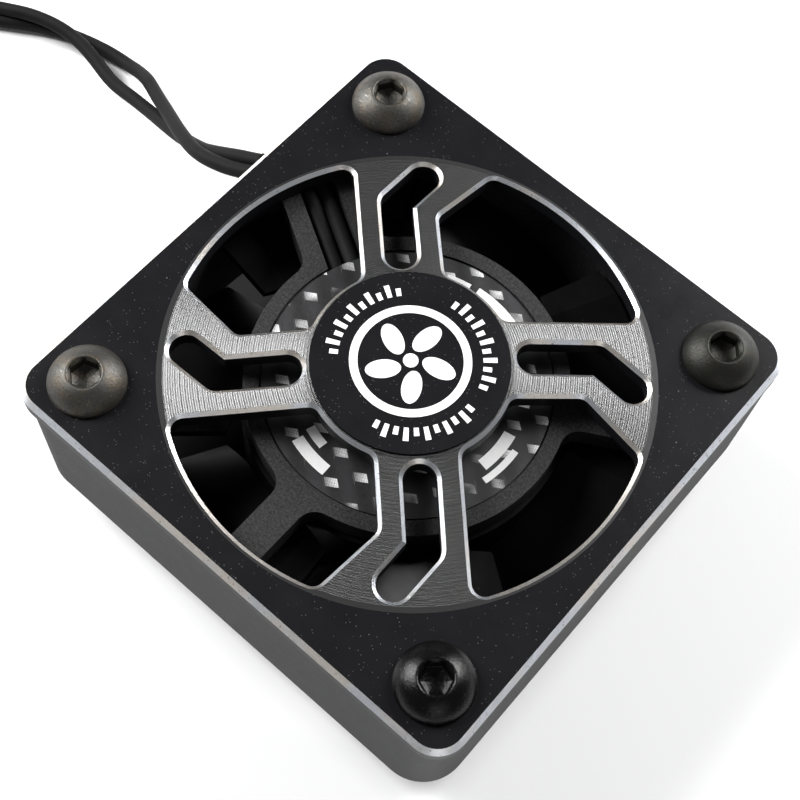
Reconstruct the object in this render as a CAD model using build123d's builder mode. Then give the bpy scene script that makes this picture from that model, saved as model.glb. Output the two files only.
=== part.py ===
from build123d import *
import os
from math import atan2, cos, degrees, hypot, pi, radians, sin, sqrt, tan

os.makedirs("parts", exist_ok=True)

# Square cooling fan, 40 mm, with a domed metal guard held by four long M3 screws.
# Origin: middle of the plane that the screw tips stand on. +Z points out through the guard.

# Frame
fan_side = 40.0
frame_height = 11.0
frame_corner_r = 3.5
bore_r = 19.0
bore_lip = 0.5                # bevel at the open end of the bore

# Guard
guard_thickness = 1.5
guard_corner_r = 2.4
guard_edge_bevel = 0.4
cut_bevel = 0.27              # bevel round each window and slot
dome_outer_r = 17.9
dome_rise = 1.25
disc_r = 7.1
disc_step = 0.2
window_outer_r = 17.43
window_inner_r = 7.5
spoke_half_width = 3.02       # half the width over a pair of spokes
window_side_x = 6.23          # straight side of a window, at this distance from the middle line:
window_side_middle = 13.1
window_side_lean = 5.9        # degrees
window_fillet = 0.9
slot_width = 2.4
slot_points = [(6.25, -6.2), (9.6, -9.6), (9.6, -12.75)]

# Screws
screw_spacing = 32.0
screw_r = 1.5
screw_shank_r = 1.3          # above the thread, inside the frame and the guard
screw_clearance = 0.1
screw_reach = 3.5             # how far a screw stands out below the frame
screw_head_r = 2.8
screw_head_height = 1.65
screw_head_rim = 0.25
screw_head_bulge = 0.25       # how far the head's side stands out from a straight cone
screw_crown_r = 1.35
screw_socket = 2.0            # across flats
screw_socket_depth = 1.0
screw_tip_bevel = 0.3

# Motor base, struts and wire channel
base_r = 11.9
base_drop = 0.3               # below the top of the frame
base_depth = 2.0
base_plate = 1.0
base_cavity_r = 11.0
strut_width = 2.65
strut_fillet = 1.5
strut_angles = [30.0, 270.0]
channel_angle = 150.0
channel_offset = 1.3          # sideways from the line through the middle of the fan
channel_cover = 0.05          # from the top of the wires up to the floor of the label's pocket
channel_wall = 1.5
channel_inner_end = 7.4
channel_bend = 18.6           # along the channel, where it turns to the side of the frame
channel_bend_r = 2.4
label_pocket_r = 10.75
label_pocket_depth = 0.25
label_r = 10.6
label_thickness = 0.15

# Lead
wire_r = 0.6
wire_gap = 0.1
wire_side_gap = 0.15
wire_inner_end = 9.0
lead_exit_y = 6.2
lead_exit_stub = 0.6
cord_r = 1.2

# Impeller
hub_r = 12.2
hub_wall = 0.9
hub_floor = 0.8
hub_top_gap = 0.3             # below the motor base
hub_to_frame_bottom = 0.7
hub_edge_r = 0.8
blade_count = 7
blade_tip_gap = 0.4
blade_thickness = 0.9
blade_rim_gap = 0.5           # from the hub's upper rim down to the blades
blade_floor_gap = 0.1         # from the hub's outer floor up to the blades
blade_sweep = 13.0            # width of a blade round the hub at its root
blade_tip_sweep = 18.0
blade_camber = 1.1

# Motor
yoke_wall = 0.6
yoke_rim_gap = 0.4
magnet_wall = 1.2
magnet_end_gap = 0.3
air_gap = 0.4
core_top_gap = 2.0            # below the circuit board
core_bottom = 7.6
core_ring_wall = 1.1
core_arm_width = 2.4
core_shoe_depth = 1.2
core_shoe_angle = 72.0
pole_count = 4
insulator_thickness = 0.5
coil_wall = 0.6
coil_side_wall = 1.0
coil_inner_x = 3.9
coil_outer_x = 7.3
coil_fillet = 0.4
board_thickness = 0.6
board_r = 9.6
board_hole_gap = 0.1
board_part_r = 7.0
block_corner_r = 0.1
chip_size = (1.6, 2.9, 0.9)
chip_angle = 45.0
capacitor_size = (0.8, 1.6, 0.8)
capacitor_angle = 225.0
solder_length = 0.9
solder_height = 0.5

# Bearings and shaft
shaft_r = 0.75
tube_wall = 0.6
tube_ledge = 0.3
race_r = 2.0
race_wall = 0.3
inner_race_wall = 0.35
bearing_width = 2.0
ball_count = 7
ball_clearance = 0.01
lower_bearing_bottom = 6.4
upper_bearing_drop = 3.0      # below the face of the motor base
tube_bottom = 6.2
tube_top_gap = 0.3            # below the face of the motor base
bush_r = 1.9
bush_length = 1.0
bush_skin = 0.2
bush_boss_wall = 1.1
retainer_r = 1.3
retainer_thickness = 0.2
shaft_top_gap = 0.2
spring_wire_r = 0.1
spring_r = 1.0
spring_turns = 2.5

# Coiled end of the lead, and its plug
coil_centre = (-59.3, -11.0)
coil_mean_r = 13.2
coil_half_width = 2.6
coil_height = 4.9
coil_edge_r = 1.1
plug_length = 14.0
plug_width = 7.6
plug_height = 2.5
plug_pitch = 2.54
plug_socket = 1.0
plug_socket_depth = 9.0
plug_wall_r = 0.3
contact_wall = 0.15
contact_length = 8.0
contact_lip = 0.4

on_edge = 0.05                # how near counts as on, when edges and corners are picked

# Levels and radii that follow from the sizes above
frame_bottom = screw_reach
frame_top = frame_bottom + frame_height
guard_top = frame_top + guard_thickness
base_face = frame_top - base_drop
base_bottom = base_face - base_depth
board_top = base_face - base_plate
board_bottom = board_top - board_thickness
pocket_floor = base_face - label_pocket_depth
hole_r = screw_r + screw_clearance
hub_bottom = frame_bottom + hub_to_frame_bottom
hub_top = base_bottom - hub_top_gap
hub_height = hub_top - hub_bottom
floor_top = hub_bottom + hub_floor
blade_tip_r = bore_r - blade_tip_gap
blade_top = hub_top - blade_rim_gap
blade_bottom = hub_bottom + blade_floor_gap
yoke_r = hub_r - hub_wall
magnet_r = yoke_r - yoke_wall
magnet_inner_r = magnet_r - magnet_wall
core_r = magnet_inner_r - air_gap
core_top = board_bottom - core_top_gap
core_thickness = core_top - core_bottom
upper_bearing_bottom = base_face - upper_bearing_drop
tube_r = race_r + tube_wall
ledge_r = race_r - tube_ledge
tube_top = base_face - tube_top_gap
inner_race_r = shaft_r + inner_race_wall
ball_pitch_r = (race_r - race_wall + inner_race_r) / 2
ball_r = (race_r - race_wall - inner_race_r) / 2 - ball_clearance
bush_bottom = hub_bottom + bush_skin
bush_top = bush_bottom + bush_length
retainer_bottom = upper_bearing_bottom + bearing_width
shaft_top = retainer_bottom + retainer_thickness + shaft_top_gap
channel_width = 2 * (2 * wire_r + wire_side_gap) + wire_gap
channel_base = pocket_floor - channel_cover - 2 * wire_r
wire_z = channel_base + wire_r
wire_pitch = 2 * wire_r + wire_gap


def save(piece, name):
    piece.part.label = name
    export_step(piece.part, f"parts/{name}.step")


def tube_between(bottom, top, outer, inner):
    with BuildPart() as ring:
        with BuildSketch(Plane.XY.offset(bottom)):
            Circle(outer)
            Circle(inner, mode=Mode.SUBTRACT)
        extrude(amount=top - bottom)
    return ring


def on_channel(along, aside=0.0):
    """Point on the wire channel: along it from the fan's axis, and aside from its middle."""
    turn = radians(channel_angle)
    side = channel_offset + aside
    return (along * cos(turn) - side * sin(turn), along * sin(turn) + side * cos(turn))


# Frame: square body, bore, motor base, two plain struts and one strut that is a wire channel
channel_bend_point = on_channel(channel_bend)
lead_exit = (-fan_side / 2 - lead_exit_stub, lead_exit_y)
exit_turn = atan2(lead_exit[1] - channel_bend_point[1], lead_exit[0] - channel_bend_point[0])
exit_direction = (cos(exit_turn), sin(exit_turn))
past_exit = (lead_exit[0] + bore_r * exit_direction[0], lead_exit[1] + bore_r * exit_direction[1])
strut_end = bore_r + (fan_side / 2 - bore_r) / 2

with BuildPart() as fan_frame:
    with BuildSketch(Plane.XY.offset(frame_bottom)):
        RectangleRounded(fan_side, fan_side, frame_corner_r)
        Circle(bore_r, mode=Mode.SUBTRACT)
        with GridLocations(screw_spacing, screw_spacing, 2, 2):
            Circle(hole_r, mode=Mode.SUBTRACT)
    extrude(amount=frame_height)
    bore_edges = fan_frame.faces().sort_by(Axis.Z)[0].inner_wires().edges()
    chamfer(bore_edges.filter_by(lambda edge: edge.radius > hole_r + 1), bore_lip)
    with BuildSketch(Plane.XY.offset(base_bottom)) as strut_plan:
        Circle(base_r)
        for angle in strut_angles:
            with PolarLocations(0, 1, start_angle=angle):
                Rectangle(strut_end, strut_width, align=(Align.MIN, Align.CENTER))
        with PolarLocations(0, 1, start_angle=channel_angle):
            with Locations((0, channel_offset)):
                Rectangle(strut_end, channel_width + 2 * channel_wall, align=(Align.MIN, Align.CENTER))
        meeting = strut_plan.vertices().filter_by(
            lambda corner: abs(hypot(corner.X, corner.Y) - base_r) < on_edge and abs(corner.Y) > on_edge
        )
        fillet(meeting, strut_fillet)
    extrude(amount=base_depth)
    with BuildSketch(Plane.XY.offset(base_bottom)):
        Circle(base_cavity_r)
    extrude(amount=base_depth - base_plate, mode=Mode.SUBTRACT)
    with BuildSketch(Plane.XY.offset(pocket_floor)):
        Circle(label_pocket_r)
    extrude(amount=frame_height, mode=Mode.SUBTRACT)
    with BuildSketch(Plane.XY.offset(base_bottom)):
        Circle(tube_r)
    extrude(amount=frame_height, mode=Mode.SUBTRACT)
    with BuildSketch(Plane.XY.offset(channel_base)) as channel_plan:
        with BuildLine() as channel_line:
            FilletPolyline(
                on_channel(channel_inner_end), channel_bend_point, past_exit, radius=channel_bend_r
            )
        trace(line_width=channel_width)
    extrude(amount=frame_height, mode=Mode.SUBTRACT)
save(fan_frame, "fan_frame")

# Guard: square plate, domed in the middle, with four windows and four bent slots
side_slope = tan(radians(window_side_lean))
diagonal = spoke_half_width * sqrt(2)


def window_corner_on_side():
    """Where the left spoke's edge, x + y = -diagonal, meets the leaning side of the window."""
    x = (window_side_x + side_slope * (window_side_middle - diagonal)) / (1 + side_slope)
    return (x, -diagonal - x)


def on_spoke_edge(radius, side):
    reach = sqrt(radius**2 - spoke_half_width**2)
    return (
        side * (reach - spoke_half_width) / sqrt(2),
        -(reach + spoke_half_width) / sqrt(2),
    )


def window_corner_outside():
    x = window_side_x
    for _ in range(8):
        x = window_side_x + side_slope * (window_side_middle - sqrt(window_outer_r**2 - x**2))
    return (x, -sqrt(window_outer_r**2 - x**2))


def on_top_of_dome(edge):
    """True for an edge of a window or slot on the dome's outer face."""
    middle = edge @ 0.5
    radius = hypot(middle.X, middle.Y)
    dome_top = guard_top + dome_rise * (dome_outer_r - radius) / (dome_outer_r - disc_r)
    return disc_r + on_edge < radius < dome_outer_r - on_edge and abs(middle.Z - dome_top) < on_edge


window_near_right = on_spoke_edge(window_inner_r, 1)
window_near_left = on_spoke_edge(window_inner_r, -1)
window_bend = window_corner_on_side()
window_far_right = window_corner_outside()
window_far_left = (-on_spoke_edge(window_outer_r, 1)[0], on_spoke_edge(window_outer_r, 1)[1])

with BuildSketch() as one_window:
    with BuildLine():
        Line(window_near_right, window_bend)
        Line(window_bend, window_far_right)
        ThreePointArc(window_far_right, (0, -window_outer_r), window_far_left)
        Line(window_far_left, window_near_left)
        ThreePointArc(window_near_left, (0, -window_inner_r), window_near_right)
    make_face()
    fillet(one_window.vertices(), window_fillet)
    for start, end in zip(slot_points, slot_points[1:]):
        leg = Vector(end) - Vector(start)
        with Locations((Vector(start) + Vector(end)) / 2):
            SlotCenterToCenter(leg.length, slot_width, rotation=degrees(atan2(leg.Y, leg.X)))

with BuildPart() as fan_guard:
    with BuildSketch(Plane.XY.offset(frame_top)):
        RectangleRounded(fan_side, fan_side, guard_corner_r)
        with GridLocations(screw_spacing, screw_spacing, 2, 2):
            Circle(hole_r, mode=Mode.SUBTRACT)
    extrude(amount=guard_thickness)
    outline = fan_guard.faces().sort_by(Axis.Z)[-1].outer_wire().edges()
    chamfer(outline, guard_edge_bevel)
    with BuildSketch(Plane.XY.offset(frame_top)):
        Circle(dome_outer_r)
    extrude(amount=guard_thickness, mode=Mode.SUBTRACT)
    with BuildSketch(Plane.XZ):
        with BuildLine():
            Polyline(
                (0, frame_top + dome_rise + disc_step),
                (disc_r, frame_top + dome_rise + disc_step),
                (disc_r, frame_top + dome_rise),
                (dome_outer_r, frame_top),
                (dome_outer_r, guard_top),
                (disc_r, guard_top + dome_rise),
                (disc_r, guard_top + dome_rise + disc_step),
                (0, guard_top + dome_rise + disc_step),
                close=True,
            )
        make_face()
    revolve(axis=Axis.Z)
    with BuildSketch(Plane.XY.offset(frame_bottom)):
        for quarter in range(4):
            add(one_window.sketch, rotation=90 * quarter)
    extrude(amount=2 * frame_height, mode=Mode.SUBTRACT)

    chamfer(fan_guard.edges().filter_by(on_top_of_dome), cut_bevel)
save(fan_guard, "fan_guard")

# Guard screws: M3 button heads on the guard, shanks through the frame, threaded ends standing out below it
head_rim_top = guard_top + screw_head_rim
head_top = guard_top + screw_head_height
crown_mid = (
    (screw_head_r + screw_crown_r) / 2 + screw_head_bulge,
    (head_rim_top + head_top) / 2 + screw_head_bulge,
)

with BuildPart() as one_screw:
    with BuildSketch(Plane.XZ):
        with BuildLine():
            Polyline(
                (screw_crown_r, head_top),
                (0, head_top),
                (0, 0),
                (screw_r - screw_tip_bevel, 0),
                (screw_r, screw_tip_bevel),
                (screw_r, screw_reach),
                (screw_shank_r, screw_reach),
                (screw_shank_r, guard_top),
                (screw_head_r, guard_top),
                (screw_head_r, head_rim_top),
            )
            ThreePointArc((screw_head_r, head_rim_top), crown_mid, (screw_crown_r, head_top))
        make_face()
    revolve(axis=Axis.Z)
    with BuildSketch(Plane.XY.offset(head_top)):
        RegularPolygon(screw_socket / 2, 6, major_radius=False)
    extrude(amount=-screw_socket_depth, mode=Mode.SUBTRACT)

with BuildPart() as guard_screws:
    with GridLocations(screw_spacing, screw_spacing, 2, 2):
        add(one_screw.part)
save(guard_screws, "guard_screws")

# Label in the shallow pocket of the motor base
with BuildPart() as hub_label:
    with BuildSketch(Plane.XY.offset(pocket_floor)):
        Circle(label_r)
    extrude(amount=label_thickness)
save(hub_label, "hub_label")

# Wires in the channel, side by side, each from the circuit board to the side of the frame
channel_turn = exit_turn % (2 * pi) - radians(channel_angle)
for name, side in (("lead_positive", 1), ("lead_negative", -1)):
    aside = side * wire_pitch / 2
    start = on_channel(wire_inner_end, aside)
    bend = on_channel(channel_bend - aside * tan(channel_turn / 2), aside)
    finish = (
        lead_exit[0] - exit_direction[1] * aside,
        lead_exit[1] + exit_direction[0] * aside,
    )
    with BuildPart() as wire:
        with BuildLine(Plane.XY.offset(wire_z)) as wire_line:
            FilletPolyline(start, bend, finish, radius=channel_bend_r - aside)
        with BuildSketch(Plane(wire_line.line @ 0, z_dir=wire_line.line % 0)):
            Circle(wire_r)
        sweep()
    save(wire, name)

# Impeller: cup-shaped hub with a boss for the shaft bush, and twisted blades
blade_height = blade_top - blade_bottom
blade_middle = (blade_top + blade_bottom) / 2


def blade_section(radius, width, camber):
    """Thin curved section across a blade, on a plane at this distance from the axis."""
    low = Vector(-width / 2, -blade_height / 2)
    high = Vector(width / 2, blade_height / 2)
    normal = Vector(-blade_height, width).normalized()
    skin = normal * (blade_thickness / 2)
    bulge = normal * camber
    with BuildSketch(Plane((radius, 0, blade_middle), x_dir=(0, 1, 0), z_dir=(1, 0, 0))) as section:
        with BuildLine():
            ThreePointArc(low - skin, bulge - skin, high - skin)
            Line(high - skin, high + skin)
            ThreePointArc(high + skin, bulge + skin, low + skin)
            Line(low + skin, low - skin)
        make_face()
    return section.sketch


with BuildPart() as one_blade:
    add(blade_section(hub_r - hub_wall / 2, blade_sweep, blade_camber))
    add(blade_section(fan_side / 2, blade_tip_sweep, blade_camber))
    loft()
    with BuildSketch(Plane.XY.offset(blade_bottom)):
        Circle(blade_tip_r)
    extrude(amount=blade_height, mode=Mode.INTERSECT)

with BuildPart() as impeller:
    with BuildSketch(Plane.XY.offset(hub_bottom)):
        Circle(hub_r)
    extrude(amount=hub_height)
    fillet(impeller.faces().sort_by(Axis.Z)[0].edges(), hub_edge_r)
    with BuildSketch(Plane.XY.offset(floor_top)):
        Circle(yoke_r)
    extrude(amount=hub_height, mode=Mode.SUBTRACT)
    with BuildSketch(Plane.XY.offset(bush_bottom)):
        Circle(bush_r + bush_boss_wall)
    extrude(amount=bush_length)
    with BuildSketch(Plane.XY.offset(bush_bottom)):
        Circle(bush_r)
    extrude(amount=hub_height, mode=Mode.SUBTRACT)
    with PolarLocations(0, blade_count):
        add(one_blade.part)
    with BuildSketch(Plane.XY.offset(floor_top)):
        Circle(yoke_r)
        Circle(bush_r + bush_boss_wall, mode=Mode.SUBTRACT)
    extrude(amount=hub_height, mode=Mode.SUBTRACT)
save(impeller, "impeller")

# Rotor: steel ring and ring magnet inside the hub, bush, shaft, clip and spring
rotor_yoke = tube_between(floor_top, hub_top - yoke_rim_gap, yoke_r, magnet_r)
save(rotor_yoke, "rotor_yoke")
rotor_magnet = tube_between(
    floor_top + magnet_end_gap, hub_top - yoke_rim_gap - magnet_end_gap, magnet_r, magnet_inner_r
)
save(rotor_magnet, "rotor_magnet")
shaft_bush = tube_between(bush_bottom, bush_top, bush_r, shaft_r)
save(shaft_bush, "shaft_bush")

with BuildPart() as rotor_shaft:
    with BuildSketch(Plane.XY.offset(bush_bottom)):
        Circle(shaft_r)
    extrude(amount=shaft_top - bush_bottom)
save(rotor_shaft, "rotor_shaft")

shaft_retainer = tube_between(
    retainer_bottom, retainer_bottom + retainer_thickness, retainer_r, shaft_r
)
save(shaft_retainer, "shaft_retainer")

spring_height = lower_bearing_bottom - bush_top - 2 * spring_wire_r
with BuildPart() as preload_spring:
    with BuildLine(Plane.XY.offset(bush_top + spring_wire_r)) as spring_line:
        Helix(spring_height / spring_turns, spring_height, spring_r)
    with BuildSketch(Plane(spring_line.line @ 0, z_dir=spring_line.line % 0)):
        Circle(spring_wire_r)
    sweep(is_frenet=True)
save(preload_spring, "preload_spring")

# Ball bearings, one at each end of the bearing tube
for level, bottom in (("lower", lower_bearing_bottom), ("upper", upper_bearing_bottom)):
    outer_race = tube_between(bottom, bottom + bearing_width, race_r, race_r - race_wall)
    save(outer_race, level + "_outer_race")
    inner_race = tube_between(bottom, bottom + bearing_width, inner_race_r, shaft_r)
    save(inner_race, level + "_inner_race")
    with BuildPart(Plane.XY.offset(bottom + bearing_width / 2)) as balls:
        with PolarLocations(ball_pitch_r, ball_count):
            Sphere(ball_r)
    save(balls, level + "_bearing_balls")

with BuildPart() as bearing_tube:
    with BuildSketch(Plane.XY.offset(tube_bottom)):
        Circle(tube_r)
        Circle(ledge_r, mode=Mode.SUBTRACT)
    extrude(amount=tube_top - tube_bottom)
    with BuildSketch(Plane.XY.offset(tube_bottom)):
        Circle(race_r)
    extrude(amount=lower_bearing_bottom + bearing_width - tube_bottom, mode=Mode.SUBTRACT)
    with BuildSketch(Plane.XY.offset(upper_bearing_bottom)):
        Circle(race_r)
    extrude(amount=tube_top - upper_bearing_bottom, mode=Mode.SUBTRACT)
save(bearing_tube, "bearing_tube")

# Stator: four-arm core, an insulator on each face of it, and a winding round each arm
with BuildSketch() as core_plan:
    Circle(core_r)
    Circle(core_r - core_shoe_depth, mode=Mode.SUBTRACT)
    with PolarLocations(0, pole_count, start_angle=180 / pole_count):
        gap = 360 / pole_count - core_shoe_angle
        with BuildLine(mode=Mode.PRIVATE) as gap_line:
            Polyline(
                (0, 0),
                (yoke_r, -yoke_r * tan(radians(gap / 2))),
                (yoke_r, yoke_r * tan(radians(gap / 2))),
                close=True,
            )
        add(make_face(gap_line.line, mode=Mode.PRIVATE), mode=Mode.SUBTRACT)
    with PolarLocations(0, pole_count):
        Rectangle(core_r - core_shoe_depth / 2, core_arm_width, align=(Align.MIN, Align.CENTER))
    Circle(tube_r + core_ring_wall)
    Circle(tube_r, mode=Mode.SUBTRACT)

core_pieces = (
    ("lower_insulator", core_bottom - insulator_thickness, insulator_thickness),
    ("stator_core", core_bottom, core_thickness),
    ("upper_insulator", core_top, insulator_thickness),
)
for name, bottom, thickness in core_pieces:
    with BuildPart() as core_piece:
        with BuildSketch(Plane.XY.offset(bottom)):
            add(core_plan.sketch)
        extrude(amount=thickness)
    save(core_piece, name)

wound_height = core_thickness + 2 * insulator_thickness
with BuildPart() as stator_coils:
    with BuildSketch(Plane.YZ.offset(coil_inner_x)):
        with Locations((0, core_bottom + core_thickness / 2)):
            RectangleRounded(
                core_arm_width + 2 * coil_side_wall, wound_height + 2 * coil_wall, coil_fillet
            )
            Rectangle(core_arm_width, wound_height, mode=Mode.SUBTRACT)
    winding = extrude(amount=coil_outer_x - coil_inner_x)
    with PolarLocations(0, pole_count):
        add(winding)
save(stator_coils, "stator_coils")

# Circuit board under the motor base, notched for the wires, with its parts on the side of the coils
with BuildPart() as circuit_board:
    with BuildSketch(Plane.XY.offset(board_bottom)):
        Circle(board_r)
        Circle(tube_r + board_hole_gap, mode=Mode.SUBTRACT)
        with PolarLocations(0, 1, start_angle=channel_angle):
            with Locations((wire_inner_end, channel_offset)):
                Rectangle(board_r, channel_width, align=(Align.MIN, Align.CENTER), mode=Mode.SUBTRACT)
    extrude(amount=board_thickness)
save(circuit_board, "circuit_board")


def on_board(angle, along, size):
    """Block on the underside of the board, at this angle and distance from the axis."""
    with BuildPart() as block:
        with BuildSketch(Plane.XY.offset(board_bottom)):
            with PolarLocations(along, 1, start_angle=angle):
                Rectangle(size[0], size[1])
        extrude(amount=-size[2])
        fillet(block.edges().filter_by(Axis.Z), block_corner_r)
    return block


save(on_board(chip_angle, board_part_r, chip_size), "driver_chip")
save(on_board(capacitor_angle, board_part_r, capacitor_size), "board_capacitor")

with BuildPart() as solder_joints:
    with BuildSketch(Plane.XY.offset(board_top)):
        for side in (1, -1):
            with Locations(on_channel(wire_inner_end - solder_length / 2, side * wire_pitch / 2)):
                Rectangle(solder_length, 2 * wire_r, rotation=channel_angle)
    extrude(amount=solder_height)
save(solder_joints, "solder_joints")

# Lead outside the frame: a twisted pair, drawn as one round tube over both wires. It drops from the
# side of the frame to the surface that the fan stands on, and runs along it to the coil.
cord_points = [
    (lead_exit[0], lead_exit[1], wire_z),
    (-24.7, 5.1, 11.5),
    (-29.4, 6.5, 8.0),
    (-34.8, 8.6, 4.4),
    (-40.0, 10.2, 2.1),
    (-45.2, 10.9, 1.2),
    (-50.4, 9.9, 1.2),
    (-55.2, 7.1, 1.2),
    (-60.0, 4.9, 1.2),
    (-64.9, 2.4, 1.2),
]
tail_points = [
    (-54.6, -25.4, 3.2),
    (-51.2, -25.7, 1.8),
    (-47.6, -25.4, 1.25),
    (-44.2, -25.4, 1.25),
]


def cord_tube(points, name):
    """Straight runs joined by arcs as large as the runs allow."""
    spots = [Vector(*point) for point in points]
    runs = [after - before for before, after in zip(spots, spots[1:])]
    radii = []
    for before, after in zip(runs, runs[1:]):
        half_turn = radians(before.get_angle(after)) / 2
        radii.append(0.45 * min(before.length, after.length) / tan(half_turn))
    with BuildPart() as tube:
        with BuildLine() as route:
            FilletPolyline(*spots, radius=radii)
        with BuildSketch(Plane(route.line @ 0, z_dir=route.line % 0)):
            Circle(cord_r)
        sweep()
    length = sum(edge.length for edge in route.edges())
    expected = pi * cord_r**2 * length
    print(name, "radii", [round(radius, 1) for radius in radii])
    print(name, "length", round(length, 1), "volume", round(tube.part.volume / expected, 4))
    save(tube, name)


cord_tube(cord_points, "cord_run")
cord_tube(tail_points, "cord_tail")

with BuildPart() as cord_coil:
    with BuildSketch(Plane.XY):
        with Locations(coil_centre):
            Circle(coil_mean_r + coil_half_width)
            Circle(coil_mean_r - coil_half_width, mode=Mode.SUBTRACT)
    extrude(amount=coil_height)
    fillet(cord_coil.edges(), coil_edge_r)
save(cord_coil, "cord_coil")

# Plug: flat three-way housing with two metal contacts
plug_back = tail_points[-1][0]
plug_y = tail_points[-1][1] + plug_pitch / 2      # the two wires enter the first two of three places
plug_places = [plug_y - plug_pitch, plug_y, plug_y + plug_pitch]

with BuildPart() as plug_housing:
    with BuildSketch(Plane.YZ.offset(plug_back)):
        with Locations((plug_y, plug_height / 2)):
            RectangleRounded(plug_width, plug_height, plug_wall_r)
    extrude(amount=plug_length)
    with BuildSketch(Plane.YZ.offset(plug_back + plug_length)):
        for place in plug_places:
            with Locations((place, plug_height / 2)):
                Rectangle(plug_socket, plug_socket)
    extrude(amount=-plug_socket_depth, mode=Mode.SUBTRACT)
save(plug_housing, "plug_housing")

contact_front = plug_back + plug_length - contact_lip
with BuildPart() as plug_contacts:
    with BuildSketch(Plane.YZ.offset(contact_front)):
        for place in plug_places[:2]:
            with Locations((place, plug_height / 2)):
                Rectangle(plug_socket, plug_socket)
                Rectangle(
                    plug_socket - 2 * contact_wall, plug_socket - 2 * contact_wall, mode=Mode.SUBTRACT
                )
    extrude(amount=-contact_length)
save(plug_contacts, "plug_contacts")
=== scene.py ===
from math import atan2, cos, degrees, exp, pi, radians, sin, tau
import bmesh
import bpy
from mathutils import Matrix, Vector


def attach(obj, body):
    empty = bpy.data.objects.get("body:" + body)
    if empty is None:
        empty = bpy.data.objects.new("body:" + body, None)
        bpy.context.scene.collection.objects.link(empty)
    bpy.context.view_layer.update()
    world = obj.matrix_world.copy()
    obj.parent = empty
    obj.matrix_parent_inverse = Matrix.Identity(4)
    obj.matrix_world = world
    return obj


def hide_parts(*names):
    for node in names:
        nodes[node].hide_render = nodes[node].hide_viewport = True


mm = 0.001
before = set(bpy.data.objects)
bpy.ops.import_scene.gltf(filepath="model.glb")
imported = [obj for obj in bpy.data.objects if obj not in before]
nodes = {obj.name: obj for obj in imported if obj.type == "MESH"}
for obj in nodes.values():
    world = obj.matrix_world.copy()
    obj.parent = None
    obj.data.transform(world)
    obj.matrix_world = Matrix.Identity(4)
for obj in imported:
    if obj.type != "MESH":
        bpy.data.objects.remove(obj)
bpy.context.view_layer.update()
print("frame loaded:", len(nodes), "nodes")


# camera and room

view = {
    "lens": 67.43,
    "place": (25.28, -38.11, 112.47),
    "aim": (1.735, -1.794, 16.0),
    "roll": 8.6,
    "shift": (-0.0143, 0.0015),
    "clip": (0.005, 5.0),  # metres
}


def aimedAt(place, heading):  # stands at a place, with its -Z along a heading
    return Matrix.Translation(place) @ heading.to_track_quat("-Z", "Y").to_matrix().to_4x4()


def makeCamera():
    data = bpy.data.cameras.new("camera")
    data.lens = view["lens"]
    data.shift_x, data.shift_y = view["shift"]
    data.clip_start, data.clip_end = view["clip"]
    camera = bpy.data.objects.new("camera", data)
    place = Vector(view["place"]) * mm
    aimed = aimedAt(place, Vector(view["aim"]) * mm - place)
    camera.matrix_world = aimed @ Matrix.Rotation(radians(view["roll"]), 4, "Z")
    bpy.context.scene.collection.objects.link(camera)
    bpy.context.scene.camera = camera


room = {
    "glow": 0.11,
    "floorHalf": 3.0,  # metres
    "paintedShadeAt": (-3.5, 2.5),  # middle of the painted shade on the floor below the fan: a dark disc in the floor's colour, standing in for the fan's shadow
    "paintedShadeRadius": 18.4,
    "paintedShadeSoft": 1.5,
    "lamps": {  # direction, distance and size in metres, watts
        "softboxLeft": ((-0.78, -0.20, 0.58), 0.42, (0.18, 0.26), 3.15),
        "softboxRight": ((0.20, 0.80, 0.56), 0.42, (0.18, 0.26), 2.75),
        "softboxFront": ((0.80, -0.70, 0.45), 0.60, (0.26, 0.26), 0.3),
    },
}


def makeLamps():
    for name, (toward, far, size, power) in room["lamps"].items():
        data = bpy.data.lights.new(name, "AREA")
        data.shape = "RECTANGLE"
        data.size, data.size_y = size
        data.energy = power
        place = Vector(toward).normalized() * far
        light = bpy.data.objects.new(name, data)
        light.matrix_world = aimedAt(place, -place)
        bpy.context.scene.collection.objects.link(light)
    bpy.context.scene.view_settings.view_transform = "Standard"
    world = bpy.data.worlds.new("room")
    bpy.context.scene.world = world
    world.use_nodes = True
    sky = world.node_tree.nodes["Background"]
    sky.inputs["Color"].default_value = (1.0, 1.0, 1.0, 1.0)
    sky.inputs["Strength"].default_value = room["glow"]


# shader maths

class Link:  # one output socket, so that sums and products can be written as Python
    def __init__(self, paint, socket):
        self.paint = paint
        self.socket = socket

    def math(self, operation, *others):
        return self.paint.node("ShaderNodeMath", {"operation": operation}, [self, *others])

    def __add__(self, other):
        return self.math("ADD", other)

    __radd__ = __add__

    def __sub__(self, other):
        return self.math("SUBTRACT", other)

    def __rsub__(self, other):
        return self.paint.node("ShaderNodeMath", {"operation": "SUBTRACT"}, [other, self])

    def __mul__(self, other):
        return self.math("MULTIPLY", other)

    __rmul__ = __mul__

    def __truediv__(self, other):
        return self.math("DIVIDE", other)

    def above(self, edge, width):  # 0 below the edge, 1 past it, smooth between
        return self.paint.node(
            "ShaderNodeMapRange",
            {"interpolation_type": "SMOOTHSTEP"},
            {"Value": self, "From Min": edge, "From Max": edge + width},
        )

    def below(self, edge, width):
        return 1 - self.above(edge, width)


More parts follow.
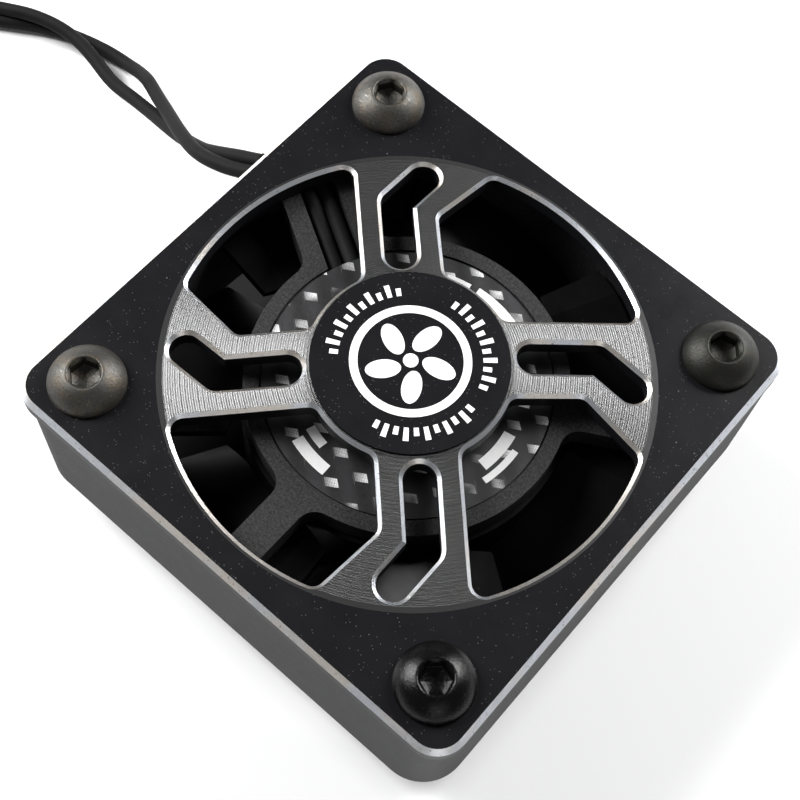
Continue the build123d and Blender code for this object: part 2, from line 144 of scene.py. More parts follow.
class Paint:  # a material with its principled shader, and one method that adds any node
    def __init__(self, name, **fixed):
        self.material = bpy.data.materials.new(name)
        self.material.use_nodes = True
        self.tree = self.material.node_tree
        self.shader = self.tree.nodes["Principled BSDF"]
        for socket, value in fixed.items():
            self.set(socket.replace("_", " "), value)

    def fill(self, target, value):
        if isinstance(value, Link):
            self.tree.links.new(value.socket, target)
        elif isinstance(value, tuple) and len(value) == 3 and target.type == "RGBA":
            target.default_value = (*value, 1.0)
        else:
            target.default_value = value

    def set(self, socket, value):
        self.fill(self.shader.inputs[socket], value)

    def node(self, kind, settings, values, out=0):
        made = self.tree.nodes.new(kind)
        for name, value in settings.items():
            setattr(made, name, value)
        for name, value in values.items() if isinstance(values, dict) else enumerate(values):
            self.fill(made.inputs[name], value)
        return Link(self, made.outputs[out])

    def place(self, turn=0.0):  # object coordinates in millimetres, turned about Z
        spot = self.node("ShaderNodeTexCoord", {}, {}, out=3)
        return self.mapped(spot, (1000.0, 1000.0, 1000.0), turn)

    def mapped(self, spot, scale, turn=0.0):
        turned = {"Vector": spot, "Scale": scale, "Rotation": (0.0, 0.0, turn)}
        return self.node("ShaderNodeMapping", {}, turned)

    def split(self, vector):
        first = self.node("ShaderNodeSeparateXYZ", {}, {"Vector": vector})
        return [Link(self, socket) for socket in first.socket.node.outputs]

    def fromAxis(self, spot):  # distance from the fan's axis
        x, y, z = self.split(spot)
        return (x * x + y * y).math("SQRT")

    def noise(self, spot, scale, detail=2.0, rough=0.5):
        shape = {"Vector": spot, "Scale": scale, "Detail": detail, "Roughness": rough}
        return self.node("ShaderNodeTexNoise", {}, shape)

    def cells(self, spot, scale, out=0, random=1.0):
        shape = {"Vector": spot, "Scale": scale, "Randomness": random}
        return self.node("ShaderNodeTexVoronoi", {}, shape, out=out)

    def blend(self, factor, first, second):
        return self.node("ShaderNodeMix", {"data_type": "RGBA"}, {0: factor, 6: first, 7: second}, out=2)

    def bump(self, height, depth, strength=1.0):
        shape = {"Height": height, "Distance": depth * mm, "Strength": strength}
        return self.node("ShaderNodeBump", {}, shape)

    def dust(self, spot, scale, share, size):  # pale specks lying on a face
        pick = self.split(self.cells(spot, scale, out=1))[0]
        return self.cells(spot, scale).below(size, 0.03) * pick.above(1 - share, 0.02)


def grey(level):
    return (level, level, level)


def wear(piece, *materials):
    if piece.data.materials:
        piece.data.materials.clear()
    for material in materials:
        piece.data.materials.append(material)


def finishMesh(name, work, smooth=30.0):
    bmesh.ops.remove_doubles(work, verts=work.verts, dist=1e-7)
    bmesh.ops.recalc_face_normals(work, faces=work.faces)
    for face in work.faces:
        face.smooth = smooth > 0
    for edge in work.edges:  # sharp where it bends past the angle, and between two finishes
        sides = edge.link_faces
        edge.smooth = (
            len(sides) == 2
            and sides[0].material_index == sides[1].material_index
            and edge.calc_face_angle() < radians(smooth)
        )
    data = bpy.data.meshes.new(name)
    work.to_mesh(data)
    work.free()
    piece = bpy.data.objects.new(name, data)
    bpy.context.scene.collection.objects.link(piece)
    return piece


# lead: two twisted wires, from the frame's side along the floor to a coil and a plug

lead = {
    "exit": (-20.6, 6.2, 13.3),
    "run": (
        (-24.7, 5.1, 11.5), (-29.4, 6.5, 8.0), (-34.8, 8.6, 4.4), (-40.0, 10.2, 2.1),
        (-45.2, 10.9, 1.2), (-50.4, 9.9, 1.2), (-55.2, 7.1, 1.2), (-60.0, 4.9, 1.2), (-64.9, 2.4, 1.2),
    ),
    "tail": ((-54.6, -25.4, 3.2), (-51.2, -25.7, 1.8), (-47.6, -25.4, 1.25), (-44.2, -25.4, 1.25)),
    "coilMiddle": (-59.3, -11.0),
    "coilAngles": (127.0, 622.0),
    "coilStep": 16.5,
    "coilRadius": 14.4,
    "coilCloses": 2.5,  # how much smaller it is after one turn
    "coilNips": (0.3, 480, 540),  # then smaller still, between these angles
    "coilOpens": (2.8, 560, 622),
    "coilHeight": 1.2,
    "coilClimbs": (2.4, 500, 560),  # over its own first turn
    "wireRadius": 0.6,
    "apart": 0.62,  # from the middle of the pair to each wire
    "apartAtPlug": 1.27,
    "twist": (2.5, 21.0),  # where it starts along the lead, and the length of half a turn
    "eye": (25.0, 5.0, 0.65),  # where the wires stand apart, over what length, by how much more
    "length": 187.0,
    "settles": (16.0, 8.0),  # before the plug, where the twist comes to rest
    "spreads": (9.0, 1.0),
    "lies": (1.3, 3.0),  # heights of the line at which it rests on the floor, and is clear of it
    "ease": 0.25,
}


def smoothStep(value, low, high):
    t = min(1.0, max(0.0, (value - low) / (high - low)))
    return t * t * (3 - 2 * t)


def eased(angle, change):
    amount, low, high = change
    return amount * smoothStep(angle, low, high)


def coilPoints():
    first, last = lead["coilAngles"]
    count = round((last - first) / lead["coilStep"])
    for i in range(count + 1):
        angle = first + (last - first) * i / count
        radius = lead["coilRadius"] - lead["coilCloses"] * min(1.0, (angle - first) / 360)
        radius += eased(angle, lead["coilOpens"]) - eased(angle, lead["coilNips"])
        yield (
            lead["coilMiddle"][0] + radius * cos(radians(angle)),
            lead["coilMiddle"][1] + radius * sin(radians(angle)),
            lead["coilHeight"] + eased(angle, lead["coilClimbs"]),
        )


def makeRoute():
    data = bpy.data.curves.new("leadRoute", "CURVE")
    data.dimensions = "3D"
    data.resolution_u = 12
    spline = data.splines.new("NURBS")
    points = [lead["exit"], *lead["run"], *coilPoints(), *lead["tail"]]
    spline.points.add(len(points) - 1)
    for point, place in zip(spline.points, points):
        point.co = (*(Vector(place) * mm), 1.0)
    spline.order_u = 3
    spline.use_endpoint_u = True
    route = bpy.data.objects.new("leadRoute", data)
    mesh = bpy.data.meshes.new_from_object(route)
    line = [vertex.co.copy() for vertex in mesh.vertices]
    bpy.data.meshes.remove(mesh)
    bpy.data.objects.remove(route)
    return line


def tubeAlong(line, radius, name):
    data = bpy.data.curves.new(name, "CURVE")
    data.dimensions = "3D"
    data.bevel_depth = radius * mm
    data.bevel_resolution = 4
    data.use_fill_caps = True
    spline = data.splines.new("POLY")
    spline.points.add(len(line) - 1)
    for point, place in zip(spline.points, line):
        point.co = (*place, 1.0)
    tube = bpy.data.objects.new(name, data)
    mesh = bpy.data.meshes.new_from_object(tube)
    bpy.data.objects.remove(tube)
    return mesh


def strandsAlong(line, walked):
    total = walked[-1]
    wire = lead["wireRadius"]
    twistFrom, halfTurn = lead["twist"]
    eyeAt, eyeLong, eyeMore = lead["eye"]
    strands = ([], [])
    for i, (point, along) in enumerate(zip(line, walked)):
        ahead = line[min(i + 1, len(line) - 1)] - line[max(i - 1, 0)]
        side = Vector((-ahead.y, ahead.x, 0.0)).normalized()
        up = ahead.normalized().cross(side) * -1
        if up.z < 0:
            up.negate()
        angle = pi * max(0.0, along - twistFrom) / halfTurn
        apart = lead["apart"] + eyeMore * exp(-(((along - eyeAt) / eyeLong) ** 2))
        spread = smoothStep(along, *(total - before for before in lead["spreads"]))
        apart += (lead["apartAtPlug"] - lead["apart"]) * spread
        settle = smoothStep(along, *(total - before for before in lead["settles"]))
        angle += (round(angle / pi) * pi - angle) * settle
        onFloor = 1 - smoothStep(point.z / mm, *lead["lies"])
        drop = wire * cos(angle) ** 2 * onFloor * (1 - settle)
        for strand, turn in zip(strands, (1, -1)):
            away = (side * cos(angle) + up * sin(angle)) * turn * apart
            place = point + (away - Vector((0, 0, drop))) * mm
            above = place.z - wire * mm  # eased off the floor, with no kink
            place.z = wire * mm + (above + (above**2 + (lead["ease"] * mm) ** 2) ** 0.5) / 2
            strand.append(place)
    return strands


def makeLead(plugPieces):
    line = makeRoute()
    walked = [0.0]
    for near, far in zip(line, line[1:]):
        walked.append(walked[-1] + (far - near).length / mm)
    work = bmesh.new()
    for strand in strandsAlong(line, walked):
        mesh = tubeAlong(strand, lead["wireRadius"], "wire")
        work.from_mesh(mesh)
        bpy.data.meshes.remove(mesh)
    piece = finishMesh("twistedLead", work, 60.0)
    wear(piece, wireJacket())
    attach(piece, "housing")
    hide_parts("cord_run", "cord_coil", "cord_tail")
    [v * mm for v in lead["exit"]]
    [tuple(point) for point in line]
    print("lead made:", round(walked[-1], 1), "mm")


def wireJacket():
    paint = Paint("matte wire jacket", IOR=1.4, Specular_IOR_Level=0.12)
    spot = paint.place()
    skin = paint.noise(spot, 6.0, 4.0, 0.7)
    scuff = paint.noise(spot, 0.8, 3.0)
    paint.set("Base Color", paint.blend(scuff, grey(0.006), grey(0.012)))
    paint.set("Roughness", 0.55 + 0.2 * skin)
    paint.set("Normal", paint.bump(skin, 0.02, 0.5))
    return paint.material


# plug: flat three-way housing with locking windows over the two contacts

plug = {
    "back": -44.2, "front": -30.2, "middle": -24.13, "width": 7.6, "height": 2.5, "pitch": 2.54,
    "bevel": 0.22,
    "windowAt": -38.6, "window": (3.2, 1.5), "windowDepth": 0.75,
    "ribs": 4, "ribFrom": 1.6, "ribStep": 0.8, "ribWide": 0.35, "ribShort": 1.6, "ribDepth": 0.18,
}


def makePlug():
    work = bmesh.new()
    middle = Vector(((plug["back"] + plug["front"]) / 2, plug["middle"], plug["height"] / 2))
    size = Vector((plug["front"] - plug["back"], plug["width"], plug["height"]))
    box = Matrix.Translation(middle * mm) @ Matrix.Diagonal((*(size * mm), 1.0))
    bmesh.ops.create_cube(work, size=1.0, matrix=box)
    bmesh.ops.bevel(
        work, geom=work.edges[:], offset=plug["bevel"] * mm, affect="EDGES", segments=3, profile=0.5,
        material=-1,
    )
    for k in (-1, 0, 1):
        y = plug["middle"] + k * plug["pitch"]
        cutTo(work, (plug["windowAt"], y), plug["window"], plug["height"], plug["windowDepth"])
    rib = (plug["ribWide"], plug["width"] - plug["ribShort"])
    for k in range(plug["ribs"]):
        x = plug["back"] + plug["ribFrom"] + plug["ribStep"] * k
        cutTo(work, (x, plug["middle"]), rib, plug["height"], plug["ribDepth"])
    piece = finishMesh("plugShell", work, 25.0)
    wear(piece, speckled("plug plastic", grey(0.016), grey(0.030), 0.38, 5.0, 0.02))
    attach(piece, "housing")
    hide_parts("plug_housing")
    return piece


def facesAt(work, level):  # faces that look up, at one level
    return [
        face for face in work.faces
        if face.normal.z > 0.9 and abs(face.calc_center_median().z / mm - level) < 0.02
    ]


def cutTo(work, centre, size, level, depth):  # sinks a rectangle of the top face
    for axis in (0, 1):
        for sign in (-1, 1):
            normal = Vector((0, 0, 0))
            normal[axis] = 1.0
            at = Vector((centre[0], centre[1], level))
            at[axis] += sign * size[axis] / 2
            top = facesAt(work, level)
            edges = {edge for face in top for edge in face.edges}
            verts = {vert for face in top for vert in face.verts}
            bmesh.ops.bisect_plane(
                work, geom=[*top, *edges, *verts], plane_co=at * mm, plane_no=normal, dist=1e-8
            )
            work.normal_update()
    inside = [
        face for face in facesAt(work, level)
        if all(abs(face.calc_center_median()[a] / mm - centre[a]) < size[a] / 2 for a in (0, 1))
    ]
    if inside:
        grown = bmesh.ops.extrude_face_region(work, geom=inside)
        moved = [v for v in grown["geom"] if isinstance(v, bmesh.types.BMVert)]
        bmesh.ops.translate(work, verts=moved, vec=(0, 0, -depth * mm))
        bmesh.ops.delete(work, geom=inside, context="FACES_ONLY")
        work.normal_update()


# guard: the CAD shape, its flat and domed faces and bevels in finishes of their own

dome = {"ringPitch": 0.17, "ringDepth": 0.023, "turnedTo": 17.45, "coarser": 2.3}


def makeGuard():
    work = bmesh.new()
    work.from_mesh(nodes["fan_guard"].data)
    bmesh.ops.remove_doubles(work, verts=work.verts, dist=2e-6)
    work.normal_update()
    for face in work.faces:
        rise = face.normal.z
        if 0.3 < rise < 0.95:
            face.material_index = 1
        elif 0.95 < rise < 0.998:
            face.material_index = 2
        elif abs(rise) < 0.1:
            face.material_index = 3
    guard = finishMesh("guard", work, 25.0)
    wear(guard, anodisedBlack(), bareBevel(), turnedDome(), milledWall())
    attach(guard, "housing")
    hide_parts("fan_guard")
    print("guard made:", len(guard.data.polygons), "faces")


def anodisedBlack():
    paint = Paint("anodised black", IOR=1.5, Specular_IOR_Level=0.24)
    spot = paint.place()
    cloud = paint.noise(spot, 0.35, 3.0)
    grain = paint.noise(spot, 14.0, 3.0, 0.7)
    specks = paint.dust(spot, 1.3, 0.18, 0.05) + paint.dust(spot, 3.1, 0.16, 0.08)
    specks = specks + paint.dust(spot, 6.0, 0.14, 0.15)
    base = paint.blend(cloud, (0.0055, 0.0055, 0.0065), (0.0085, 0.0085, 0.0095))
    paint.set("Base Color", paint.blend(specks * 0.35, base, (0.28, 0.29, 0.31)))
    paint.set("Roughness", 0.22 + 0.08 * cloud + 0.1 * specks)
    paint.set("Normal", paint.bump(grain, 0.010, 0.5))
    return paint.material


def milledWall():
    paint = Paint("milled black wall", IOR=1.5, Specular_IOR_Level=0.15)
    spot = paint.place()
    grain = paint.noise(paint.mapped(spot, (3.0, 3.0, 0.4)), 3.0, 3.0, 0.7)
    paint.set("Base Color", paint.blend(grain, grey(0.004), (0.010, 0.010, 0.013)))
    paint.set("Roughness", 0.40 + 0.15 * grain)
    paint.set("Normal", paint.bump(grain, 0.02, 0.5))
    return paint.material


def bareBevel():
    paint = Paint("bare machined bevel", Metallic=1.0)
    spot = paint.place()
    nick = paint.noise(spot, 3.2, 4.0, 0.75)
    tool = paint.noise(spot, 11.0, 2.0)
    dark = nick.above(0.60, 0.06)
    warm = paint.noise(spot, 0.22, 1.0).above(0.42, 0.2)
    tint = paint.blend(warm, (0.82, 0.85, 0.90), (0.88, 0.83, 0.77))
    paint.set("Base Color", paint.blend(dark * 0.65, tint, (0.16, 0.14, 0.13)))
    paint.set("Roughness", 0.24 + 0.22 * tool + 0.2 * dark)
    paint.set("Normal", paint.bump(nick + 0.35 * tool, 0.05, 0.55))
    return paint.material


def turnedDome():
    paint = Paint("turned anodised dome", IOR=2.0)
    spot = paint.place()
    radius = paint.fromAxis(spot)
    inside = radius.below(dome["turnedTo"], 0.06)
    wander = paint.noise(spot, 5.0)
    rings = ((radius + 0.035 * wander) * (tau / dome["ringPitch"])).math("SINE")
    coarse = ((radius + 0.03 * wander) * (tau / (dome["ringPitch"] * dome["coarser"]))).math("SINE")
    grain = paint.noise(spot, 9.0, 4.0, 0.85)
    base = paint.blend(grain.above(0.56, 0.10) * inside, grey(0.003), grey(0.014))
    height = (0.8 * rings + 0.2 * coarse) * (0.1 + 2.0 * grain) + 0.03 * grain
    level = paint.node(
        "ShaderNodeMix", {"data_type": "VECTOR"},
        {0: inside, 4: (0.0, 0.0, 1.0), 5: paint.bump(height, dome["ringDepth"])}, out=1,
    )
    paint.set("Base Color", base)
    paint.set("Roughness", 0.24 + 0.14 * grain)
    paint.set("Normal", level)
    return paint.material


# white print on the guard's disc: a plain fan sign in a ring, with scale ticks round it

emblem = {
    "level": 17.45, "thick": 0.012, "ring": (3.75, 4.35),
    "petals": 5, "petal": (1.28, 0.72), "petalAt": (2.02, 0.45), "petalTurn": 12, "hub": 0.55,
    "ticks": (5.15, 6.15), "tickWide": 0.34, "tickStep": 7.5, "shortTick": 0.62,
    "tickArcs": ((20, 95), (-75, 0), (140, 215)),
}


def addRing(work, inner, outer, level, first=0.0, last=360.0, steps=96):
    low = work.verts.new((inner * mm, 0, level * mm))
    high = work.verts.new((outer * mm, 0, level * mm))
    edge = work.edges.new((low, high))
    bmesh.ops.rotate(work, verts=[low, high], cent=(0, 0, 0), matrix=Matrix.Rotation(radians(first), 3, "Z"))
    full = abs(last - first - 360.0) < 0.01
    bmesh.ops.spin(
        work, geom=[low, high, edge], cent=(0, 0, 0), axis=(0, 0, 1), dvec=(0, 0, 0),
        angle=radians(last - first), steps=steps, use_merge=full, use_duplicate=False,
    )


def addPatch(work, size, place, turn, segments=28):  # a flat oval, then set in place
    made = bmesh.ops.create_circle(work, cap_ends=True, segments=segments, radius=1.0)["verts"]
    bmesh.ops.scale(work, vec=(size[0] * mm, size[1] * mm, 1.0), verts=made)
    bmesh.ops.translate(work, vec=Vector(place) * mm, verts=made)
    bmesh.ops.rotate(work, verts=made, cent=(0, 0, 0), matrix=Matrix.Rotation(radians(turn), 3, "Z"))


def thicken(work, thick):
    bmesh.ops.remove_doubles(work, verts=work.verts, dist=1e-7)
    bmesh.ops.recalc_face_normals(work, faces=work.faces)
    for face in work.faces:
        if face.normal.z < 0:
            face.normal_flip()
    grown = bmesh.ops.extrude_face_region(work, geom=work.faces[:])
    moved = [v for v in grown["geom"] if isinstance(v, bmesh.types.BMVert)]
    bmesh.ops.translate(work, vec=(0, 0, thick * mm), verts=moved)


def makeEmblem():
    work = bmesh.new()
    level = emblem["level"]
    addRing(work, *emblem["ring"], level)
    for k in range(emblem["petals"]):
        turn = 360 / emblem["petals"] * k + emblem["petalTurn"]
        addPatch(work, emblem["petal"], (*emblem["petalAt"], level), turn)
    addPatch(work, (emblem["hub"], emblem["hub"]), (0, 0, level), 0)
    low, high = emblem["ticks"]
    for first, last in emblem["tickArcs"]:
        count = round((last - first) / emblem["tickStep"])
        for k in range(count + 1):
            tall = 1.0 if k % 2 else emblem["shortTick"]
            angle = first + (last - first) * k / count
            half = degrees(emblem["tickWide"] / 2 / low)
            addRing(work, low, low + (high - low) * tall, level, angle - half, angle + half, 2)
    thicken(work, emblem["thick"])
    piece = finishMesh("discPrint", work, 20.0)
    wear(piece, whitePrint())
    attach(piece, "housing")
    print("disc print made")


def whitePrint():
    paint = Paint("white print", IOR=1.5)
    spot = paint.place()
    worn = paint.noise(spot, 5.0, 3.0, 0.6)
    paint.set("Base Color", paint.blend(worn, grey(0.80), (0.92, 0.92, 0.91)))
    paint.set("Roughness", 0.38 + 0.2 * worn)
    paint.set("Normal", paint.bump(paint.noise(spot, 20.0), 0.01, 0.4))
    return paint.material


# label in the motor base: woven print, with plain white bars

label = {
    "turn": 38.0, "cell": 1.05, "dots": 9.0, "level": 14.1, "thick": 0.02,
    "bars": (  # inner and outer radius, first and last angle
        (7.9, 9.4, 66, 96), (8.6, 9.3, 100, 112), (7.6, 8.3, 250, 262), (8.7, 9.6, 252, 272),
        (7.9, 8.8, 350, 372), (9.1, 9.6, 346, 366), (8.2, 9.0, 28, 44),
    ),
}


def makeLabelBars():
    work = bmesh.new()
    for low, high, first, last in label["bars"]:
        addRing(work, low, high, label["level"], first, last, 14)
    thicken(work, label["thick"])
    piece = finishMesh("labelBars", work, 20.0)
    wear(piece, whitePrint())
    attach(piece, "housing")


def wovenLabel():
    paint = Paint("woven print label", IOR=1.5)
    spot = paint.place(radians(label["turn"]))
    x, y, z = paint.split(spot)
    across = x / label["cell"]
    along = y / label["cell"]
    column = across.math("FLOOR")
    row = along.math("FLOOR")
    u = across.math("FRACT")
    v = along.math("FRACT")
    raised = (column + 2 * row).math("FLOORED_MODULO", 4.0).below(0.5, 0.01)
    slant = u - 0.35 * v
    inCell = (slant - 0.32).math("ABSOLUTE").below(0.30, 0.06)
    inCell = inCell * (v - 0.5).math("ABSOLUTE").below(0.40, 0.06)
    dots = paint.cells(spot, label["dots"], random=0.1).below(0.36, 0.2)
    fade = paint.noise(spot, 0.30).above(0.34, 0.2)
    glint = raised * inCell * (0.10 + 1.2 * v) * (0.30 + 0.70 * dots) * fade
    base = paint.blend(0.5 + 0.5 * (along * pi).math("SINE"), grey(0.012), (0.026, 0.026, 0.028))
    paint.set("Base Color", paint.blend(glint, base, (0.95, 0.95, 0.95)))
    paint.set("Roughness", 0.30 + 0.2 * paint.noise(spot, 3.0))
    paint.set("Normal", paint.bump(u * (1 - u) * 4 * raised + 0.3 * dots, 0.02, 0.35))
    return paint.material


# screws: button heads with a hexagon socket, and the threaded ends under the frame

screw = {
    "spacing": 32.0, "seat": 16.0, "segments": 96,
    "corners": ((-1, 1, 28), (1, 1, 41), (1, -1, 12), (-1, -1, 50)),  # side in X and Y, and turn
    "head": (  # radius, height over the seat, how far it is a hexagon
        (1.30, 0.0, 0), (2.72, 0.0, 0), (2.80, 0.06, 0), (2.80, 0.22, 0), (2.77, 0.34, 0),
        (2.66, 0.58, 0), (2.48, 0.84, 0), (2.24, 1.08, 0), (1.98, 1.29, 0), (1.72, 1.46, 0),
        (1.52, 1.57, 0), (1.40, 1.62, 0), (1.33, 1.645, 0), (1.27, 1.64, 0), (1.20, 1.60, 0),
        (1.11, 1.50, 0.5), (1.03, 1.42, 1), (1.0, 1.38, 1), (0.985, 0.62, 1), (0.90, 0.56, 1),
        (0.5, 0.46, 0.4), (0.05, 0.40, 0),
    ),
    "shank": ((1.18, 0.0), (1.18, 12.6), (1.3, 12.7), (1.3, 16.0)),
    "crest": ((1.16, 0.0), (1.46, 0.19), (1.46, 0.27), (1.16, 0.46)),
    "pitch": 0.5, "threadFrom": 0.08, "turns": 6, "turnSteps": 40, "sharpFrom": 28.0,
}


def makeHead():
    work = bmesh.new()
    circle = bmesh.ops.create_circle(work, cap_ends=False, segments=screw["segments"], radius=mm)
    verts = circle["verts"]
    edges = work.edges[:]
    for k, (radius, height, hexagon) in enumerate(screw["head"]):
        if k:
            grown = bmesh.ops.extrude_edge_only(work, edges=edges)["geom"]
            verts = [item for item in grown if isinstance(item, bmesh.types.BMVert)]
            edges = [item for item in grown if isinstance(item, bmesh.types.BMEdge)]
        for vert in verts:
            angle = atan2(vert.co.y, vert.co.x)
            flat = (angle + pi / 6) % (pi / 3) - pi / 6
            reach = radius * (1 + hexagon * (1 / cos(flat) - 1)) * mm
            vert.co = (reach * cos(angle), reach * sin(angle), (screw["seat"] + height) * mm)
    bmesh.ops.contextual_create(work, geom=edges)
    return work


def makeStud():
    work = bmesh.new()
    verts = [work.verts.new((radius * mm, 0, height * mm)) for radius, height in screw["shank"]]
    axisLow = work.verts.new((0, 0, 0))
    edges = [work.edges.new(pair) for pair in zip([axisLow, *verts], verts)]
    bmesh.ops.spin(
        work, geom=[axisLow, *verts, *edges], cent=(0, 0, 0), axis=(0, 0, 1), dvec=(0, 0, 0),
        angle=tau, steps=screw["turnSteps"], use_merge=True, use_duplicate=False,
    )
    lift = screw["threadFrom"]
    crest = [work.verts.new((radius * mm, 0, (height + lift) * mm)) for radius, height in screw["crest"]]
    line = [work.edges.new(pair) for pair in zip(crest, crest[1:])]
    steps = screw["turnSteps"]
    bmesh.ops.spin(
        work, geom=[*crest, *line], cent=(0, 0, 0), axis=(0, 0, 1),
        dvec=(0, 0, screw["pitch"] * mm / steps), angle=tau * screw["turns"],
        steps=steps * screw["turns"], use_merge=False, use_duplicate=False,
    )
    bmesh.ops.remove_doubles(work, verts=work.verts, dist=1e-7)
    return work


def makeScrews():
    work = bmesh.new()
    shapes = []
    for name, made in (("head", makeHead()), ("stud", makeStud())):
        bmesh.ops.recalc_face_normals(made, faces=made.faces)
        shapes.append(bpy.data.meshes.new(name))
        made.to_mesh(shapes[-1])
        made.free()
    half = screw["spacing"] / 2
    for x, y, turn in screw["corners"]:
        before = len(work.verts)
        for shape in shapes:
            work.from_mesh(shape)
        work.verts.ensure_lookup_table()
        fresh = work.verts[before:]
        bmesh.ops.rotate(work, verts=fresh, cent=(0, 0, 0), matrix=Matrix.Rotation(radians(turn), 3, "Z"))
        bmesh.ops.translate(work, vec=(x * half * mm, y * half * mm, 0), verts=fresh)
    for shape in shapes:
        bpy.data.meshes.remove(shape)
    data = bpy.data.meshes.new("screws")
    work.to_mesh(data)
    work.free()
    piece = bpy.data.objects.new("screws", data)
    bpy.context.scene.collection.objects.link(piece)
    data.shade_smooth()
    data.set_sharp_from_angle(angle=radians(screw["sharpFrom"]))
    wear(piece, oxideSteel())
    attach(piece, "housing")
    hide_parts("guard_screws")
    print("screws made:", len(data.polygons), "faces")


def oxideSteel():
    paint = Paint("oxide screw steel")
    spot = paint.place()
    patch = paint.noise(spot, 0.9, 4.0, 0.6)
    pits = paint.noise(spot, 5.5, 4.0, 0.7)
    scratch = paint.noise(paint.mapped(spot, (1.0, 7.0, 1.0), 0.9), 2.2)
    brown = paint.blend(patch.above(0.42, 0.25), (0.070, 0.068, 0.063), (0.082, 0.069, 0.053))
    bright = scratch.above(0.66, 0.05) * 0.5
    dull = paint.blend(pits.above(0.52, 0.15) * 0.6, brown, grey(0.022))
    x, y, z = paint.split(spot)
    newer = (x - y).above(screw["spacing"] / 2, 1.0)  # one screw still has its black finish
    darker = (x + y).above(screw["spacing"] / 2, 1.0)  # and one has kept some of it
    worn = paint.blend(bright, dull, (0.30, 0.28, 0.25))
    part = paint.blend(0.80 * darker, worn, (0.012, 0.013, 0.011))
    paint.set("Base Color", paint.blend(newer * pits.below(0.60, 0.05), part, grey(0.012)))
    paint.set("Metallic", 0.80 + 0.2 * bright)
    paint.set("Roughness", 0.36 + 0.22 * pits - 0.10 * bright - 0.28 * newer)
    paint.set("Normal", paint.bump(pits + 0.5 * scratch, 0.05, 0.5))
    return paint.material


# finishes of the frame, the impeller and the motor

def sparkPlastic(name, dark, pale, gloss=0.52):
    paint = Paint(name, IOR=1.5, Specular_IOR_Level=0.18)
    spot = paint.place()
    spark = paint.noise(spot, 5.5, 4.0, 0.8)
    cloud = paint.noise(spot, 0.5)
    paint.set("Base Color", paint.blend(spark.above(0.35, 0.4), grey(dark), grey(pale)))
    paint.set("Roughness", gloss + 0.18 * spark - 0.06 * cloud)
    paint.set("Normal", paint.bump(spark, 0.045, 0.8))
    return paint.material


def rotorPlastic():
    paint = Paint("glossy rotor plastic", IOR=1.45, Specular_IOR_Level=0.10)
    spot = paint.place()
    flow = paint.noise(spot, 0.6, 3.0, 0.6)
    dust = paint.dust(spot, 1.7, 0.18, 0.06)
    plain = paint.blend(flow, grey(0.004), grey(0.008))
    paint.set("Base Color", paint.blend(dust * 0.3, plain, grey(0.12)))
    paint.set("Roughness", 0.26 + 0.14 * flow + 0.3 * dust)
    paint.set("Normal", paint.bump(flow, 0.03, 0.3))
    return paint.material


def turnedMetal(name, light, dark, gloss=0.22):
    paint = Paint(name, Metallic=1.0)
    spot = paint.place()
    rings = (paint.fromAxis(spot) * (tau / 0.12)).math("SINE")
    grain = paint.noise(spot, 9.0, 3.0, 0.65)
    paint.set("Base Color", paint.blend(grain, light, dark))
    paint.set("Roughness", gloss + 0.2 * grain)
    paint.set("Normal", paint.bump(0.4 * rings + grain, 0.012, 0.5))
    return paint.material


def laminatedCore():
    paint = Paint("laminated core", Metallic=1.0)
    spot = paint.place()
    x, y, z = paint.split(spot)
    sheet = (z * (tau / 0.35)).math("SINE")
    grain = paint.noise(spot, 8.0, 3.0)
    paint.set("Base Color", paint.blend(sheet.above(0.2, 0.5), (0.16, 0.15, 0.14), (0.42, 0.42, 0.43)))
    paint.set("Roughness", 0.38 + 0.2 * grain)
    paint.set("Normal", paint.bump(sheet + grain, 0.03, 0.6))
    return paint.material


def woundCopper():
    paint = Paint("wound copper", Metallic=0.9)
    spot = paint.place()
    x, y, z = paint.split(spot)
    turns = (x.math("ABSOLUTE").math("MAXIMUM", y.math("ABSOLUTE")) * (tau / 0.22)).math("SINE")
    paint.set("Base Color", paint.blend(turns.above(-0.2, 0.8), (0.22, 0.07, 0.02), (0.80, 0.36, 0.14)))
    paint.set("Roughness", 0.26 + 0.15 * paint.noise(spot, 4.0))
    paint.set("Normal", paint.bump(turns, 0.06, 0.8))
    return paint.material


def speckled(name, dark, pale, gloss, scale=6.0, depth=0.02, metal=0.0):
    paint = Paint(name, Metallic=metal, IOR=1.5)
    spot = paint.place()
    speck = paint.noise(spot, scale, 3.0, 0.65)
    cloud = paint.noise(spot, 0.7)
    paint.set("Base Color", paint.blend(0.6 * speck + 0.4 * cloud, dark, pale))
    paint.set("Roughness", gloss + 0.15 * speck)
    paint.set("Normal", paint.bump(speck, depth, 0.5))
    return paint.material


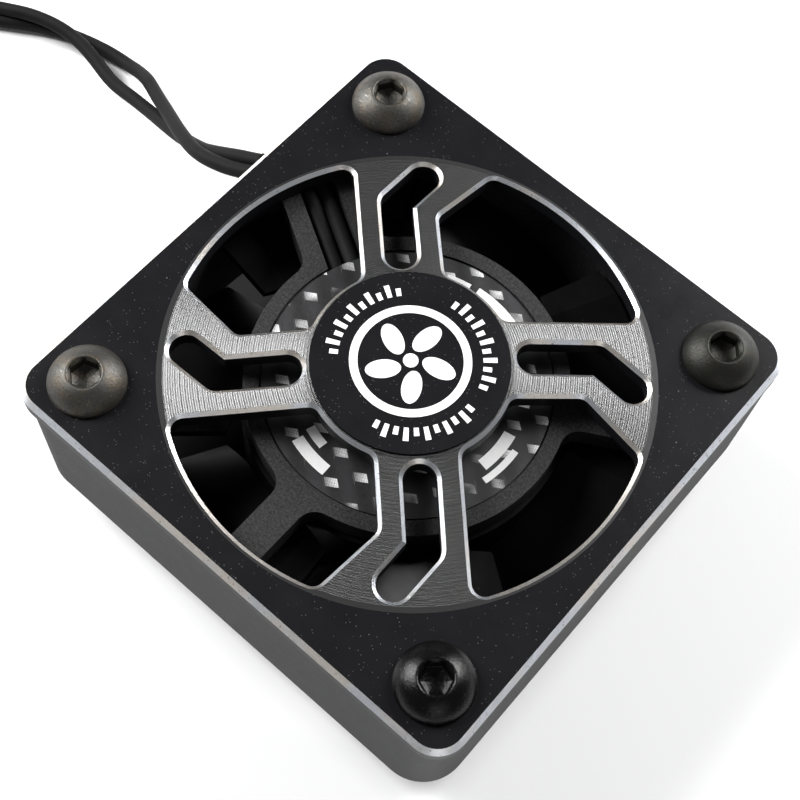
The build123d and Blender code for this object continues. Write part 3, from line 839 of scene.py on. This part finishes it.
def dressNodes():
    steel = turnedMetal("ground steel", grey(0.62), grey(0.45))
    brass = turnedMetal("turned brass", (0.72, 0.50, 0.20), (0.55, 0.36, 0.13))
    jacket = wireJacket()
    nylon = speckled("natural nylon", (0.62, 0.58, 0.47), (0.74, 0.70, 0.60), 0.4)
    finishes = {
        "fan_frame": sparkPlastic("spark frame plastic", 0.009, 0.044),
        "hub_label": wovenLabel(),
        "impeller": rotorPlastic(),
        "lead_positive": jacket,
        "lead_negative": jacket,
        "rotor_yoke": speckled("plated yoke", grey(0.35), grey(0.5), 0.3, metal=1.0),
        "rotor_magnet": speckled("bonded magnet", grey(0.03), grey(0.07), 0.6),
        "shaft_bush": brass,
        "bearing_tube": brass,
        "rotor_shaft": steel,
        "shaft_retainer": steel,
        "preload_spring": steel,
        "stator_core": laminatedCore(),
        "stator_coils": woundCopper(),
        "lower_insulator": nylon,
        "upper_insulator": nylon,
        "circuit_board": speckled("green board", (0.010, 0.075, 0.030), (0.018, 0.11, 0.045), 0.35),
        "driver_chip": speckled("moulded chip", grey(0.015), grey(0.03), 0.45),
        "board_capacitor": speckled(
            "ceramic capacitor", (0.42, 0.30, 0.18), (0.52, 0.38, 0.24), 0.4
        ),
        "solder_joints": speckled("bright solder", grey(0.55), grey(0.75), 0.2, metal=1.0),
        "plug_contacts": speckled(
            "tinned contacts", (0.70, 0.62, 0.40), (0.80, 0.74, 0.56), 0.2, metal=1.0
        ),
    }
    for level in ("lower", "upper"):
        for part in ("outer_race", "inner_race", "bearing_balls"):
            finishes[level + "_" + part] = steel
    for node, material in finishes.items():
        wear(nodes[node], material)
    print("nodes dressed:", len(finishes))


# floor, with a painted shade under the fan

def makeFloor():
    work = bmesh.new()
    bmesh.ops.create_grid(work, x_segments=1, y_segments=1, size=room["floorHalf"])
    floor = finishMesh("floor", work, 0)
    paint = Paint("pale floor", IOR=1.45)
    spot = paint.place()
    cloud = paint.noise(spot, 0.02)
    x, y, z = paint.split(spot)
    # painted shade: the floor's colour goes near black in a soft disc under the fan, standing in for the
    # shadow there; the disc reaches past the frame on the -X side
    aside = x - room["paintedShadeAt"][0]
    along = y - room["paintedShadeAt"][1]
    away = (aside * aside + along * along).math("SQRT")
    paintedShadeMask = away.below(room["paintedShadeRadius"], room["paintedShadeSoft"])
    pale = paint.blend(cloud, (0.90, 0.90, 0.905), (0.93, 0.93, 0.93))
    # grey(0.004) is the painted shade's colour, blended in by the disc mask
    paint.set("Base Color", paint.blend(paintedShadeMask, pale, grey(0.004)))
    paint.set("Roughness", 0.75 + 0.1 * cloud)
    wear(floor, paint.material)


makeCamera()
makeLamps()
makeLead([makePlug(), nodes["plug_contacts"]])
makeFloor()
makeGuard()
makeEmblem()
makeLabelBars()
makeScrews()
dressNodes()
